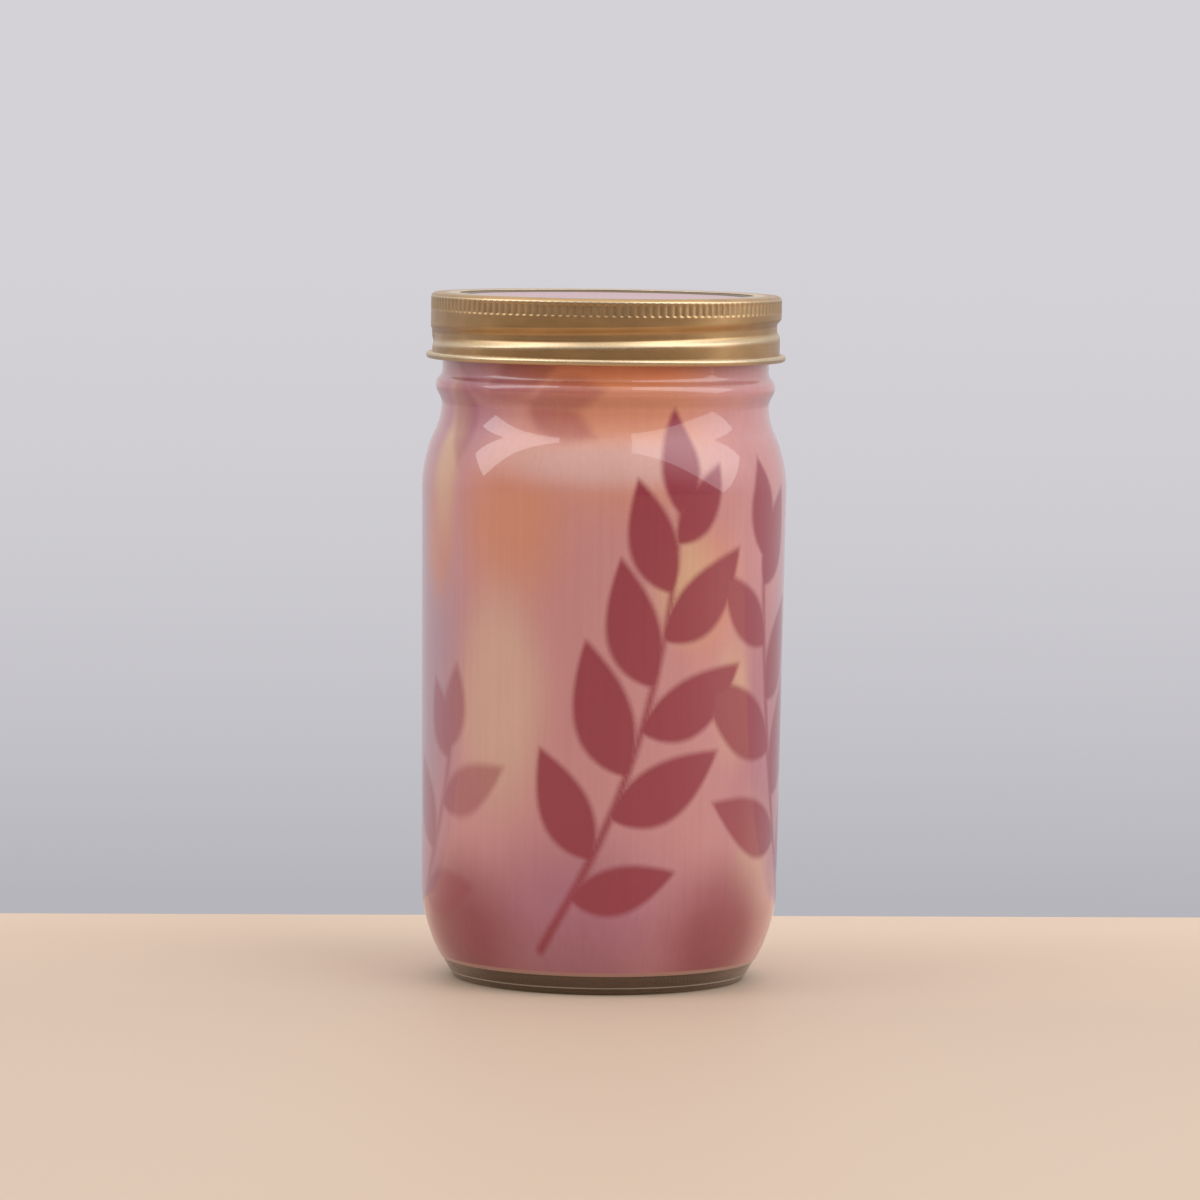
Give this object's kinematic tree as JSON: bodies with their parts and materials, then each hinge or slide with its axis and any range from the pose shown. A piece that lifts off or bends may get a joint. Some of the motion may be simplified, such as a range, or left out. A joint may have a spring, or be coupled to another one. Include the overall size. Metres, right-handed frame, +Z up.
{
  "type": "hydroponic jar planter",
  "caption": "Glass screw-top jar planter in a printed film sleeve, with a gold screw band over a flat lid, and a steel net pot, felt wick and growing kit inside.",
  "frame": {"origin": "centre of the ring that the jar stands on, at the level of the table", "axes": "+Z up along the jar's axis, -Y towards the picture's viewer, +X to the viewer's right"},
  "size_m": [0.0948, 0.0948, 0.178],
  "materials": {
    "jar_glass": "pressed soda-lime glass",
    "sleeve_film": "glossy printed shrink film, peach to mauve",
    "gold_tinplate": "gold-lacquered rolled tinplate, satin",
    "lid_tinplate": "gold-lacquered tinplate",
    "seal_compound": "moulded sealing compound",
    "label_paper": "printed paper, pale pink",
    "pot_steel": "brushed stainless sheet",
    "wick_felt": "needled felt",
    "coir_pith": "pressed coir pith",
    "kit_paper": "uncoated paper and card",
    "sachet_paper": "heat-sealed filter paper",
    "seed_coat": "dry seed coat"
  },
  "bodies": {
    "jar": {"glass_jar": "jar_glass", "print_sleeve": "sleeve_film", "pot_rim": "pot_steel", "pot_wall": "pot_steel", "pot_base": "pot_steel", "wick": "wick_felt", "coir_disc": "coir_pith", "seed_packet": "kit_paper", "seeds": "seed_coat", "grow_guide": "kit_paper", "food_sachet": "sachet_paper", "carbon_sachet": "sachet_paper"},
    "lid": {"lid_disc": "lid_tinplate", "lid_seal": "seal_compound", "lid_label": "label_paper"},
    "band": {"screw_band": "gold_tinplate"}
  },
  "joints": [
    {"name": "lid_rise", "type": "slide", "parent": "jar", "child": "lid", "axis": [0, 0, 1], "range_m": [0, 0.0191]},
    {"name": "band_turn", "type": "hinge", "parent": "lid", "child": "band", "pos_m": [0, 0, 0.17], "axis": [0, 0, 1], "range_deg": [0, 1080]}
  ],
  "couplings": [
    {"joint": "lid_rise", "follows": "band_turn", "m_per_rad": 0.0010106}
  ]
}
